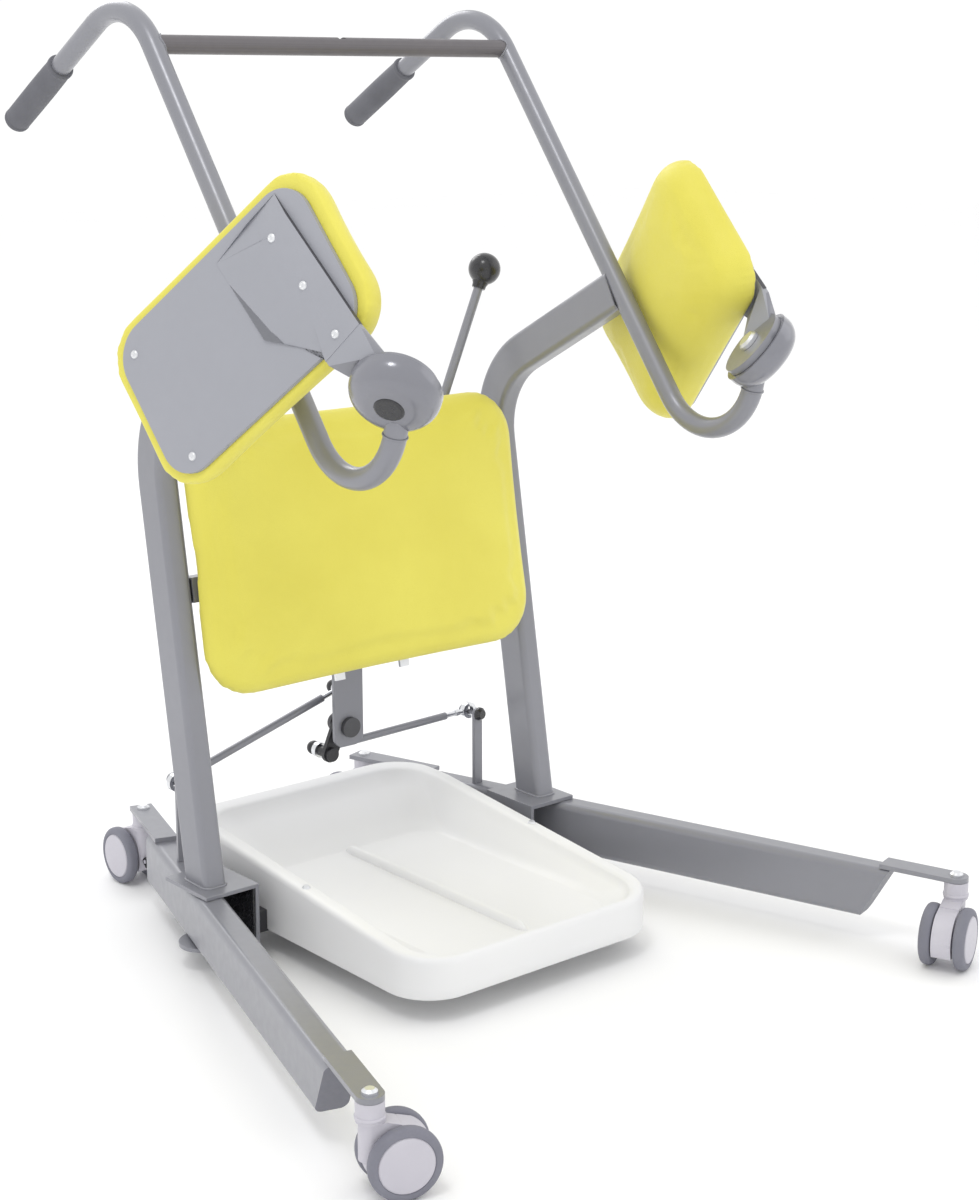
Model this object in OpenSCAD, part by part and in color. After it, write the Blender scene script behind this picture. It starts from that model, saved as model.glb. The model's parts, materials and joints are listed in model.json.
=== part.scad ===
// Manual stand-and-turn aid. A wheeled base with two spreading legs carries a foot tray,
// a padded knee rest and two seat pads that swing up and over to close behind the patient.
// Millimetres, +Z up. The patient stands on the tray facing +Y, the carer holds the grips.

/* [Frame] */
// Half the distance between the two side frames, centre to centre
frame_half = 260; // [240:1:300]
// Height of the top of the base plates, where the uprights stand
base_top = 104; // [98:1:115]
// Lean of the uprights towards the carer, degrees
upright_lean = 9.4; // [5:0.1:14]
// Straight length of an upright below its bend
upright_run = 479; // [440:1:520]
// Centre-line radius of the upright bend
upright_bend_r = 115; // [90:1:150]
// Angle that an upright bends forward, degrees
upright_turn = 71.4; // [60:0.1:80]
// Upright width across the frame
upright_w = 30; // [25:1:40]
// Upright depth along the frame
upright_d = 50; // [40:1:60]
// Corner radius of the upright tube
upright_r = 8; // [5:0.5:12]
// Wall of the upright tube
upright_wall = 2; // [1.5:0.1:3]

/* [Side tubes] */
// Outside diameter of the side tubes
tube_d = 25; // [22:0.5:32]
// Wall of the side tubes
tube_wall = 2; // [1.5:0.1:3]
// Height of the tube centre at the top of its bend
top_z = 1120; // [1060:1:1180]
// Distance of the top bend behind the upright feet
top_y = 136; // [110:1:160]
// Centre-line radius of the top bend
top_bend_r = 95; // [80:1:120]
// Dip of the handle ends below level, degrees
grip_dip = 29; // [15:0.5:40]
// Straight length of a handle end
handle_run = 234; // [200:1:280]
// Slant of the long straight from vertical, degrees
tube_slant = 36.8; // [32:0.1:42]
// Length of the long straight
slant_run = 517; // [480:1:540]
// Centre-line radius of the J end
j_bend_r = 76.5; // [70:0.5:90]
// Angle of the J end, degrees
j_turn = 138; // [130:1:142]
// Radius of a handle grip
grip_r = 16.5; // [14:0.5:20]
// Length of a handle grip over the tube
grip_len = 133; // [100:1:160]
// Diameter of the dark hand bar between the tubes
bar_d = 22; // [18:0.5:25]

/* [Seats] */
// Seat hub offset outward from the side tube
hub_out = 0; // [-2:0.5:4]
// Seat hub distance ahead of the centre of the J bend
hub_ahead = 77; // [72:0.5:82]
// Seat hub height above the centre of the J bend
hub_above = 27.2; // [24:0.2:32]
// Hub axis angle from vertical, degrees
hub_polar = 129.3; // [120:0.1:140]
// Hub axis heading, degrees
hub_heading = -32.9; // [-45:0.1:-20]
// Radius of the domed hub housing
hub_r = 48; // [46:1:56]
// Height of the domed hub housing
hub_h = 31; // [29:1:40]
// Seat pad width
seat_w = 210; // [190:1:212]
// Seat pad length
seat_l = 338; // [305:1:340]
// Distance from the hub axis to the near edge of a seat pad
pad_near = 55; // [52:0.5:60]
// Seat pad thickness at the crown
seat_t = 56; // [46:1:58]
// Seat pad corner radius
seat_r = 54; // [40:1:70]
// How far a seat board stands inside its pad outline
board_inset = 12.5; // [9:0.5:14]
// Thickness of the grey backing boards
board_t = 6; // [4:0.5:10]

/* [Knee rest] */
// How far the knee pad ends inside the centre of each side frame
knee_in = 13; // [8:1:25]
// Knee pad height
knee_h = 330; // [300:1:350]
// Knee pad thickness at the crown
knee_t = 36; // [30:1:50]
// Knee pad corner radius
knee_r = 60; // [40:1:80]
// Height of the knee pad middle above the base plates, along the uprights
knee_mid = 381; // [365:1:395]

/* [Legs and spreader] */
// Spread of each leg at rest, degrees
leg_splay = 17; // [10:0.5:20]
// Leg pivot offset outward from the side frame
pivot_out = 5; // [0:1:10]
// Leg width
leg_w = 36; // [30:1:40]
// Leg height
leg_h = 66.4; // [60:0.2:70]
// Wall of the leg tube
leg_wall = 2.5; // [2:0.1:3]
// Distance of the front caster ahead of the leg pivot
front_stem = 595; // [560:1:640]
// Distance of the rear caster behind the leg pivot
rear_stem = 290; // [280:1:320]
// Distance of the tie rod stud behind the leg pivot
post_back = 112; // [105:1:125]
// Height of the tie rod stud
link_z = 197; // [185:1:205]
// Height of the lever pivot
lever_z = 231; // [220:1:245]
// Lean of the lever from upright at either end of its swing, degrees
lever_lean = 23.2; // [18:0.1:26]
// Distance of the knob from the lever pivot
lever_len = 620; // [560:1:680]
// Radius of the lever knob
knob_r = 21; // [18:0.5:25]

/* [Foot tray] */
// Distance from the side frame in to the edge of the tray
tray_in = 73; // [65:1:85]
// Front edge of the tray, forward is negative
tray_front = -325; // [-350:1:-300]
// Rear edge of the tray
tray_rear = 195; // [180:1:198]
// Height of the tray floor
tray_floor = 62; // [60:1:66]
// Height of the rim at the rear
tray_rim = 122; // [110:1:130]
// Fall of the rim towards the front, degrees
tray_fall = 5.9; // [3:0.1:7]
// Thickness of the tray skin
tray_skin = 5; // [4:0.5:6]

/* [Casters] */
// Wheel radius
wheel_r = 37.5; // [35:0.5:40]
// Width of one wheel of a pair
wheel_w = 16.6; // [14:0.2:18]
// Distance of the axle behind the stem
trail = 28; // [26:0.5:32]
// Heading of the front left caster at rest, degrees
front_left_turn = -20; // [-180:1:180]
// Heading of the front right caster at rest, degrees
front_right_turn = 203; // [0:1:360]
// Heading of the rear casters at rest, degrees
rear_turn = 90; // [0:1:180]

/* [Hidden] */
$fn = 64;

// Clearances: running fit, seated fit, and the gap between moving faces
run_fit = 0.05;
seat_fit = 0.05;
face_gap = 0.3;
// Loss of width where a tube is drawn through a bend
bend_draw = 0.1;

// Colours
grey = "#96969e";
charcoal = "#645f62";
grip_grey = "#6e6e76";
black = "#2c2c30";
yellow = "#e6de5a";
board_grey = "#7c7c84";
white = "#f0f0f0";
lilac = "#d0cdd7";
tyre_grey = "#878794";
bright = "#c4c6ca";
chrome = "#dadce0";

// Side tube: bend centres and tangent points in the side view
top_turn = 90 - tube_slant + grip_dip;
top_c = [top_y, top_z - top_bend_r];
handle_start = top_c + top_bend_r * [sin(grip_dip), cos(grip_dip)];
tube_end = handle_start + handle_run * [cos(grip_dip), -sin(grip_dip)];
slant_start = top_c + top_bend_r * [-cos(tube_slant), sin(tube_slant)];
slant_dir = [-sin(tube_slant), -cos(tube_slant)];
slant_end = slant_start + slant_run * slant_dir;
j_c = slant_end + j_bend_r * [-cos(tube_slant), sin(tube_slant)];
hub_y = j_c[0] - hub_ahead;
hub_z = j_c[1] + hub_above;

// Upright: end of its bend and the run from there to the side tube
arm_angle = upright_turn - upright_lean;
run_end = [0, base_top] + upright_run * [sin(upright_lean), cos(upright_lean)];
up_c = run_end + upright_bend_r * [-cos(upright_lean), sin(upright_lean)];
bend_end = up_c + upright_bend_r * [cos(arm_angle), sin(arm_angle)];
arm_dir = [-sin(arm_angle), cos(arm_angle)];
function cross2(a, b) = a[0] * b[1] - a[1] * b[0];
arm_reach = cross2(slant_start - bend_end, slant_dir) / cross2(arm_dir, slant_dir);
arm_run = arm_reach - 3;

// Base and legs
plate_t = 5;
pivot_x = frame_half + pivot_out;
pivot_r = 8;
web_in = frame_half - 45.5;
leg_top = base_top - plate_t - face_gap;
leg_bottom = leg_top - leg_h;
arm_w = 29;
arm_lap = 14;
arm_t = 6;
arm_top = leg_top + arm_t;
stem_r = 6;
collar_top = leg_top - face_gap;
leg_front = front_stem - 80;
leg_rear = rear_stem - 85;
nose_slant = 29.8;
cross_half = 20;
tray_half = frame_half - tray_in;
knee_w = 2 * (frame_half - knee_in);
cross_top = tray_floor - 6;

// Spreader: the crank radius moves each leg from open to straight ahead
crank_r = post_back * sin(leg_splay) / (2 * sin(lever_lean));
strip_y = 62.8;
strip_t = 6;
crank_y = strip_y + strip_t + face_gap;
boss_len = 12;
crank_plate_y = crank_y + boss_len;
crank_t = 6;
rod_y = post_back * cos(leg_splay);
eye_t = 8;
stud_r = 4;
post_stud_r = 3;
eye_hole_r = 6.2;
eye_rise = crank_r * (1 - cos(lever_lean)) / 2;
post_x = pivot_x - post_back * sin(leg_splay);
function stud_at(s) = [-s * crank_r * sin(lever_lean), lever_z - s * crank_r * cos(lever_lean)];
function eye_at(s) = [s * post_x, link_z + s * eye_rise];
function rod_run(s) = norm(eye_at(s) - stud_at(s));
function rod_angle(s) = atan2(eye_at(s)[1] - stud_at(s)[1], eye_at(s)[0] - stud_at(s)[0]);

// Casters
fork_half = 12;
axle_r = 5;
wheel_in = fork_half + 0.4;
wheel_out = wheel_in + wheel_w;
pedal_pin = [-17, 38];
pedal_pin_r = 2.5;
function stem_along(e) = e > 0 ? front_stem : -rear_stem;
function stem_x(s, e) = s * (pivot_x + stem_along(e) * sin(leg_splay));
function stem_y(e) = -stem_along(e) * cos(leg_splay);
function caster_turn(s, e) = e < 0 ? rear_turn : (s < 0 ? front_left_turn : front_right_turn);

// Footprint centre: the whole object is moved so that its outline is centred on the origin
nose_turn = front_right_turn;
front_reach = -stem_y(1) + (trail + wheel_r) * abs(sin(nose_turn)) + wheel_out * abs(cos(nose_turn));
rear_reach = tube_end[0] + 4 * cos(grip_dip) + grip_r * sin(grip_dip);
base_y = (front_reach - rear_reach) / 2;

// Cushion edge: tuck angle under the edge, side draw-in and crown height
edge_tuck = 12;
draw_in = 2;
crown = 8;

// Placing helpers
module at_side(s) {
  translate([0, base_y, 0]) mirror([s < 0 ? 1 : 0, 0, 0]) translate([frame_half, 0, 0]) children();
}

module lean() {
  translate([0, base_y, base_top]) rotate([-upright_lean, 0, 0]) children();
}

module hub_place(s) {
  at_side(s) translate([hub_out, hub_y, hub_z]) children();
}

module hub_turn() {
  rotate([0, hub_polar, hub_heading]) children();
}

module seat_turn() {
  rotate([-105.65, -48.24, 88]) children();
}

module on_leg(s) {
  translate([0, base_y, 0]) mirror([s < 0 ? 1 : 0, 0, 0])
    translate([pivot_x, 0, 0]) rotate([0, 0, leg_splay - 90]) children();
}

module lever_frame() {
  translate([0, base_y, lever_z]) rotate([0, lever_lean, 0]) children();
}

module rod_frame(s) {
  p = stud_at(s);
  translate([p[0], base_y + rod_y, p[1]]) rotate([0, -rod_angle(s), 0]) children();
}

module at_caster(s, e) {
  translate([stem_x(s, e), base_y + stem_y(e), 0]) rotate([0, 0, caster_turn(s, e)]) children();
}

// Shape helpers
module rounded_rect(w, d, r) {
  square([w - 2 * r, d], center = true);
  square([w, d - 2 * r], center = true);
  for (x = [-1, 1], y = [-1, 1]) translate([x * (w / 2 - r), y * (d / 2 - r)]) circle(r);
}

// A peg along +Y from y0 to y1
module peg_y(r, y0, y1) {
  translate([0, y0, 0]) rotate([-90, 0, 0]) cylinder(r = r, h = y1 - y0);
}

// A bend starts along +Z and turns towards +Y for a positive angle
module bend(radius, angle) {
  mirror([0, angle < 0 ? 1 : 0, 0]) translate([0, radius, 0]) rotate([90, 0, -90])
    rotate_extrude(angle = abs(angle)) translate([radius, 0]) rotate(90) children();
}

// A bent bar: each step is a straight run, a bend radius and a bend angle. The first shape is
// the section of the runs, and the last one is the section of the bends
module path(steps, i = 0) {
  run = steps[i][0];
  radius = steps[i][1];
  angle = steps[i][2];
  if (run > 0) linear_extrude(run) children(0);
  translate([0, 0, run]) {
    if (angle != 0) bend(radius, angle) children($children - 1);
    if (i + 1 < len(steps))
      translate([0, sign(angle) * radius * (1 - cos(angle)), radius * sin(abs(angle))])
        rotate([-angle, 0, 0]) path(steps, i + 1) {
          children(0);
          children($children - 1);
        }
  }
}

// Side tube solid of any diameter, run on past both ends by over
module tube_form(d, over) {
  translate([0, tube_end[0], tube_end[1]]) rotate([90 - grip_dip, 0, 0]) translate([0, 0, -over])
    path([[handle_run + over, top_bend_r, -top_turn], [slant_run, j_bend_r, j_turn], [over, 0, 0]]) {
      circle(d = d);
      circle(d = d - bend_draw);
    }
}

// Parts of the side tube used as cutters
module slant_form(d) {
  translate([0, slant_start[0], slant_start[1]]) rotate([180 - tube_slant, 0, 0])
    cylinder(d = d, h = slant_run);
}

module top_bend_form(d) {
  translate([0, handle_start[0], handle_start[1]]) rotate([90 - grip_dip, 0, 0])
    bend(top_bend_r, -top_turn) circle(d = d);
}

module j_form(d) {
  translate([0, slant_end[0], slant_end[1]]) rotate([180 - tube_slant, 0, 0])
    bend(j_bend_r, j_turn) circle(d = d);
}

module upright_section(inset) {
  rounded_rect(upright_w - 2 * inset, upright_d - 2 * inset, upright_r - inset);
}

module upright_form(inset, over) {
  translate([0, 0, base_top]) rotate([-upright_lean, 0, 0]) translate([0, 0, -10 - over])
    path([[upright_run + 10 + over, upright_bend_r, -upright_turn], [arm_run + over, 0, 0]]) {
      upright_section(inset);
      upright_section(inset + bend_draw / 2);
    }
}

// Cushion: rings from the tucked back edge over the rounded side to the crowned face
corner_steps = 7;
side_steps = 4;
edge_steps = 6;
face_steps = 4;
ring_n = 4 * (corner_steps + side_steps);
ring_k = edge_steps + face_steps;

function side_point(a, b, u, pull) =
  let (d = b - a, n = [-d[1], d[0]] / norm(d)) a + u * d + n * pull * 4 * u * (1 - u);

function outline(w, d, r, pull) = [
  for (c = [0:3])
    let (sx = (c == 0 || c == 3) ? 1 : -1, sy = c < 2 ? 1 : -1,
      nx = (c == 0 || c == 3) ? -1 : 1, m = [sx * (w / 2 - r), sy * (d / 2 - r)],
      c2 = (c + 1) % 4, tx = (c2 == 0 || c2 == 3) ? 1 : -1, ty = c2 < 2 ? 1 : -1,
      m2 = [tx * (w / 2 - r), ty * (d / 2 - r)],
      a = m + r * [cos(90 * (c + 1)), sin(90 * (c + 1))],
      b = m2 + r * [cos(90 * (c + 1)), sin(90 * (c + 1))])
    for (k = [0:corner_steps + side_steps - 1])
      k <= corner_steps
        ? m + r * [cos(90 * (c + k / corner_steps)), sin(90 * (c + k / corner_steps))]
        : side_point(a, b, (k - corner_steps) / side_steps, pull)
];

function cushion_ring(w, d, t, r, k) =
  let (er = (t - crown) / (1 + sin(edge_tuck)),
    phi = k <= edge_steps ? -edge_tuck + (90 + edge_tuck) * k / edge_steps : 90,
    inset = er * (1 - cos(phi)), z = er * (sin(edge_tuck) + sin(phi)),
    f = k <= edge_steps ? 1 : 1 - (k - edge_steps) / face_steps,
    lift = k <= edge_steps ? 0 : crown * (1 - f * f))
  [for (p = outline(w - 2 * inset, d - 2 * inset, r - inset, draw_in))
    [p[0] * f, p[1] * f, z + lift]];

module cushion(w, d, t, r) {
  rings = [for (k = [0:ring_k - 1]) each cushion_ring(w, d, t, r, k)];
  back = len(rings);
  apex = back + 1;
  pts = concat(rings, [[0, 0, 0], [0, 0, t]]);
  sides = [for (k = [0:ring_k - 2], j = [0:ring_n - 1])
    let (a = k * ring_n + j, b = k * ring_n + (j + 1) % ring_n)
    each [[a, a + ring_n, b + ring_n], [a, b + ring_n, b]]];
  under = [for (j = [0:ring_n - 1]) [back, j, (j + 1) % ring_n]];
  top0 = (ring_k - 1) * ring_n;
  over = [for (j = [0:ring_n - 1]) [apex, top0 + (j + 1) % ring_n, top0 + j]];
  polyhedron(points = pts, faces = concat(sides, under, over));
}

// Frame
module upright(s) {
  color(grey) at_side(s) difference() {
    upright_form(0, 0);
    upright_form(upright_wall, 2);
    translate([-upright_w, -upright_d, base_top - 40]) cube([2 * upright_w, 2 * upright_d, 40]);
    slant_form(tube_d + 2 * seat_fit);
  }
}

module side_tube(s) {
  color(grey) at_side(s) difference() {
    tube_form(tube_d, 0);
    tube_form(tube_d - 2 * tube_wall, 2);
  }
}

module grip(s) {
  bore = tube_d / 2 + 0.1;
  cap = 5;
  edge = 4;
  color(grip_grey) at_side(s) translate([0, tube_end[0], tube_end[1]]) rotate([90 - grip_dip, 0, 0])
    difference() {
      translate([0, 0, -cap]) rotate_extrude() {
        translate([0, edge]) square([grip_r, grip_len + cap - edge]);
        square([grip_r - edge, edge]);
        translate([grip_r - edge, edge]) circle(edge);
      }
      cylinder(r = bore, h = grip_len + 1);
    }
}

module hand_bar() {
  color(charcoal) difference() {
    translate([-frame_half, base_y + slant_start[0], slant_start[1]]) rotate([0, 90, 0])
      cylinder(d = bar_d, h = 2 * frame_half);
    for (s = [-1, 1]) at_side(s) {
      slant_form(tube_d + 2 * seat_fit);
      top_bend_form(tube_d + 2 * seat_fit - bend_draw);
    }
    translate([-5, base_y + slant_start[0] - bar_d, slant_start[1] + bar_d / 2 - 2])
      cube([10, 2 * bar_d, 10]);
  }
}

// Base
module base_bracket(s) {
  web_x = web_in - frame_half;
  top_w = 73.5;
  deep = 46;
  nose = 30;
  color(grey) at_side(s) difference() {
    union() {
      translate([web_x, -deep, base_top - plate_t]) cube([top_w, 2 * deep, plate_t]);
      translate([web_x, -deep, leg_bottom - face_gap - plate_t])
        cube([plate_t, 2 * deep, base_top - leg_bottom + face_gap + plate_t - 1]);
      translate([web_x, -nose, leg_bottom - face_gap - plate_t])
        cube([pivot_out - web_x, 2 * nose, plate_t]);
      translate([pivot_out, 0, leg_bottom - face_gap - plate_t]) cylinder(r = nose, h = plate_t);
    }
    translate([pivot_out, 0, 0]) cylinder(r = pivot_r + seat_fit, h = base_top + 1);
  }
}

module base_crossmember() {
  wall = 3;
  tall = cross_top - leg_bottom + face_gap + plate_t - 1;
  color(black) translate([0, base_y, cross_top - tall / 2]) difference() {
    cube([2 * web_in, 2 * cross_half, tall], center = true);
    cube([2 * web_in + 2, 2 * (cross_half - wall), tall - 2 * wall], center = true);
  }
}

module leg_pivot_bolts() {
  head_top = leg_bottom - face_gap - plate_t;
  color(charcoal) for (s = [-1, 1]) at_side(s) translate([pivot_out, 0, 0]) {
    translate([0, 0, head_top]) cylinder(r = pivot_r, h = base_top - head_top);
    translate([0, 0, head_top - 7]) cylinder(r = 13, h = 7, $fn = 6);
  }
}

// Foot tray
tray_len = tray_rear - tray_front;
tray_mid = (tray_rear + tray_front) / 2;
tray_bottom = 30;
tray_r = 60;
rim_y = 100;

// Everything above the rim, lowered by drop
module above_rim(drop) {
  translate([-400, -600, tray_rim - drop]) cube([800, 1200, 200]);
  translate([0, rim_y, tray_rim - drop]) rotate([tray_fall, 0, 0]) translate([-400, -700, 0])
    cube([800, 700, 200]);
}

// The bowl, grown outward and downward by grow
module bowl(grow) {
  foot_half = 135 + grow;
  mouth_half = tray_half - 20 + grow;
  foot_front = tray_front + 25 - grow;
  foot_rear = 75 + grow;
  mouth_front = tray_front + 8 - grow;
  mouth_rear = tray_rear - 30 + grow;
  hull() {
    translate([0, (foot_front + foot_rear) / 2, tray_floor - grow]) linear_extrude(1)
      rounded_rect(2 * foot_half, foot_rear - foot_front, 40, $fn = 32);
    translate([0, rim_y, tray_rim]) rotate([tray_fall, 0, 0])
      translate([0, (mouth_front + mouth_rear) / 2 - rim_y, 4]) linear_extrude(1)
        rounded_rect(2 * mouth_half, mouth_rear - mouth_front, 50, $fn = 32);
  }
}

module foot_tray() {
  rib_top = tray_floor + 10;
  color(white) translate([0, base_y, 0]) {
    difference() {
      translate([0, tray_mid, tray_bottom]) linear_extrude(150)
        rounded_rect(2 * tray_half, tray_len, tray_r);
      above_rim(0);
      bowl(0);
      difference() {
        translate([0, tray_mid, tray_bottom - 1]) linear_extrude(150)
          rounded_rect(2 * (tray_half - tray_skin), tray_len - 2 * tray_skin, tray_r - tray_skin);
        above_rim(tray_skin);
        bowl(tray_floor - cross_top);
      }
      translate([-tray_half - 10, -cross_half - 1, tray_bottom - 1])
        cube([2 * tray_half + 20, 2 * cross_half + 2, cross_top - tray_bottom + 1]);
    }
    translate([-3, tray_front + 40, tray_floor - 1])
      cube([6, 75 - tray_front - 40, rib_top - tray_floor + 1]);
  }
}

module tray_rivets() {
  rivet_y = -90;
  rivet_z = tray_rim + (rivet_y - rim_y) * tan(tray_fall);
  color(bright) for (s = [-1, 1])
    translate([s * (tray_half - 10), base_y + rivet_y, rivet_z]) rotate([tray_fall, 0, 0])
      cylinder(r1 = 5, r2 = 3.5, h = 2.5);
}

// Seats
module hub_housing(s) {
  shoulder = 24;
  color(grey) hub_place(s) difference() {
    hub_turn() difference() {
      rotate_extrude() {
        square([hub_r, hub_h - shoulder]);
        square([hub_r - shoulder, hub_h]);
        translate([hub_r - shoulder, hub_h - shoulder]) intersection() {
          circle(shoulder);
          square(shoulder);
        }
      }
      translate([0, 0, -1]) cylinder(r = pivot_r + seat_fit, h = 24);
      translate([0, 0, hub_h - 3]) cylinder(r = 16 + seat_fit, h = 4);
    }
    translate([-hub_out, -hub_y, -hub_z]) j_form(tube_d + 2 * seat_fit);
  }
}

module hub_caps() {
  color(black) for (s = [-1, 1]) hub_place(s) hub_turn() translate([0, 0, hub_h - 3]) {
    cylinder(r = 16, h = 3.5);
    translate([0, 0, 3.5]) cylinder(r1 = 16, r2 = 13, h = 1.5);
  }
}

module seat_pivot_bolts() {
  color(bright) for (s = [-1, 1]) hub_place(s) hub_turn() {
    translate([0, 0, -9]) cylinder(r = pivot_r, h = 31);
    translate([0, 0, -16]) cylinder(r1 = 10, r2 = 13, h = 3);
    translate([0, 0, -13]) cylinder(r = 13, h = 4.4);
  }
}

arm_disc_t = 8;
leaf_t = 5;
leaf_w = 56;
leaf_at = [28, -23];
leaf_turn = 6;
neck_turn = 41;
board_back = -35;
board_shift = -4;
board_cut = 5;
pad_s = pad_near + seat_w / 2;
pad_l = 123;
board_s0 = pad_s + board_shift - seat_w / 2 + board_inset;
board_s1 = pad_s + board_shift + seat_w / 2 - board_inset;
board_l1 = pad_l + seat_l / 2 - board_inset - board_cut;
leaf_stop = 27.5;
leaf_end = (board_s1 - leaf_stop - leaf_at[0]) / cos(leaf_turn);
first_screw = (board_s0 + 6.2 - leaf_at[0] + 29 * sin(leaf_turn)) / cos(leaf_turn);
last_screw = leaf_end - 15;
leaf_screws = [[first_screw, 29], [(first_screw + last_screw) / 2, 29], [last_screw, 29]];
edge_screws = [[board_s0 + 18.5, board_l1 - 33.5], [board_s1 - 25.5, board_l1 - 23.5]];
screw_r = 3;
screw_in = 5;
function on_leaf(p) = leaf_at + [p[0] * cos(leaf_turn) - p[1] * sin(leaf_turn),
  p[0] * sin(leaf_turn) + p[1] * cos(leaf_turn)];
board_screws = concat([for (p = leaf_screws) on_leaf(p)], edge_screws);

// The leaf lies along the back of the board, turned a little from the seat's own axes
module leaf_place() {
  seat_turn() translate([leaf_at[0], leaf_at[1], board_back - leaf_t]) rotate([0, 0, leaf_turn]) children();
}

module seat_arm(s) {
  color(grey) hub_place(s) difference() {
    union() {
      hub_turn() translate([0, 0, -arm_disc_t - face_gap]) difference() {
        cylinder(r = 42, h = arm_disc_t);
        translate([0, 0, -1]) cylinder(r = pivot_r + run_fit, h = arm_disc_t + 2);
      }
      hull() {
        hub_turn() rotate([0, 0, neck_turn]) translate([-24, 24, 0.5 - arm_disc_t - face_gap])
          cube([48, 13, arm_disc_t - 1]);
        leaf_place() translate([26, 0.5, 0.5]) cube([12, leaf_w - 1, leaf_t - 1]);
      }
      leaf_place() translate([32, 0, 0]) cube([leaf_end - 32, leaf_w, leaf_t]);
    }
    leaf_place() for (p = leaf_screws) translate([p[0], p[1], -1])
      cylinder(r = screw_r + seat_fit, h = leaf_t + 2);
  }
}

module seat_board(s) {
  color(board_grey) hub_place(s) seat_turn() difference() {
    translate([pad_s + board_shift, pad_l, board_back]) linear_extrude(board_t)
      rounded_rect(seat_w - 2 * board_inset, seat_l - 2 * (board_inset + board_cut), seat_r - board_inset);
    for (p = board_screws) translate([p[0], p[1], board_back - 1])
      cylinder(r = screw_r + seat_fit, h = screw_in + 1);
  }
}

module seat_pad(s) {
  color(yellow) hub_place(s) seat_turn() translate([pad_s, pad_l, board_back + board_t])
    cushion(seat_w, seat_l, seat_t, seat_r);
}

module seat_screws(s) {
  color(bright) hub_place(s) {
    leaf_place() for (p = leaf_screws) translate([p[0], p[1], 0]) {
      cylinder(r = screw_r, h = leaf_t + screw_in);
      translate([0, 0, -4]) cylinder(r1 = 4.5, r2 = 7, h = 4);
    }
    seat_turn() for (p = edge_screws) translate([p[0], p[1], board_back]) {
      cylinder(r = screw_r, h = screw_in);
      translate([0, 0, -4]) cylinder(r1 = 4.5, r2 = 7, h = 4);
    }
  }
}

// Knee rest
bar_z = 350;
bar_half = frame_half - upright_w / 2;

module knee_crossbar() {
  wall = 2.5;
  deep = 34;
  tall = 30;
  color(grey) lean() translate([0, deep / 2 - upright_d / 2, bar_z]) difference() {
    cube([2 * bar_half, deep, tall], center = true);
    cube([2 * bar_half + 2, deep - 2 * wall, tall - 2 * wall], center = true);
  }
}

module knee_board() {
  color(board_grey) lean() translate([0, -upright_d / 2, knee_mid]) rotate([90, 0, 0])
    linear_extrude(board_t) rounded_rect(knee_w - 22, knee_h - 18, knee_r - 8);
}

module knee_pad() {
  color(yellow) lean() translate([0, -upright_d / 2 - board_t, knee_mid]) rotate([90, 0, 0])
    cushion(knee_w, knee_h, knee_t, knee_r);
}

module knee_pad_clips() {
  color(bright) lean() for (x = [-50, 50]) translate([x, -upright_d / 2, knee_mid - knee_h / 2]) {
    translate([-7, 0, -8]) cube([14, 4, 44]);
    translate([0, 4, 22]) rotate([-90, 0, 0]) cylinder(r1 = 6, r2 = 4, h = 3);
  }
}

// Spreader
module lever_bracket() {
  strip_w = 45;
  corner = 14;
  foot = lever_z - 26;
  top_run = 370;
  bar_back = 9;
  function leaned(y, z) = [y * cos(upright_lean) + z * sin(upright_lean),
    base_top + z * cos(upright_lean) - y * sin(upright_lean)];
  function knee_of(y, at) = leaned(y, (at - y * cos(upright_lean)) / sin(upright_lean));
  side = [[strip_y, foot - 1], [strip_y + strip_t, foot - 1],
    knee_of(bar_back + strip_t, strip_y + strip_t), leaned(bar_back + strip_t, top_run),
    leaned(bar_back, top_run), knee_of(bar_back, strip_y)];
  color(grey) translate([0, base_y, 0]) difference() {
    intersection() {
      rotate([90, 0, 90]) translate([0, 0, -strip_w / 2 - 1]) linear_extrude(strip_w + 2) polygon(side);
      translate([0, 0, foot + 200]) rotate([90, 0, 0]) translate([0, 0, -150]) linear_extrude(300)
        rounded_rect(strip_w, 400, corner);
    }
    translate([0, strip_y, lever_z]) peg_y(pivot_r + seat_fit, -5, strip_t + 5);
  }
}

module lever_pivot_bolt() {
  nut_y = crank_plate_y + crank_t + face_gap;
  color(charcoal) translate([0, base_y, lever_z]) {
    peg_y(13, strip_y - 6.5, strip_y);
    peg_y(pivot_r, strip_y - 1, nut_y + 1);
    peg_y(12, nut_y, nut_y + 7, $fn = 64);
  }
}

module lever_crank() {
  half = 11;
  tail = 62;
  shoulder_end = rod_y - eye_t / 2 - face_gap;
  color(black) lever_frame() difference() {
    union() {
      peg_y(12, crank_y, crank_plate_y + 1);
      translate([-half, crank_plate_y, -crank_r]) cube([2 * half, crank_t, crank_r + tail]);
      translate([0, 0, -crank_r]) peg_y(half, crank_plate_y, crank_plate_y + crank_t);
      for (e = [-1, 1]) translate([0, 0, e * crank_r]) {
        peg_y(9, crank_plate_y - 5, crank_plate_y + 1);
        peg_y(7, crank_plate_y + crank_t - 1, shoulder_end);
        peg_y(stud_r, shoulder_end - 1, rod_y + eye_t / 2 + 4);
        peg_y(8, rod_y + eye_t / 2 + face_gap, rod_y + eye_t / 2 + 5);
        translate([0, rod_y + eye_t / 2 + 8.6, 0]) sphere(9);
      }
    }
    peg_y(pivot_r + run_fit, crank_y - 1, crank_plate_y + crank_t + 1);
  }
}

module lever_rod() {
  tail = 62;
  color(grey) lever_frame() translate([0, crank_plate_y + crank_t / 2, tail])
    cylinder(r = 6, h = lever_len - 10 - tail);
}

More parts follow.
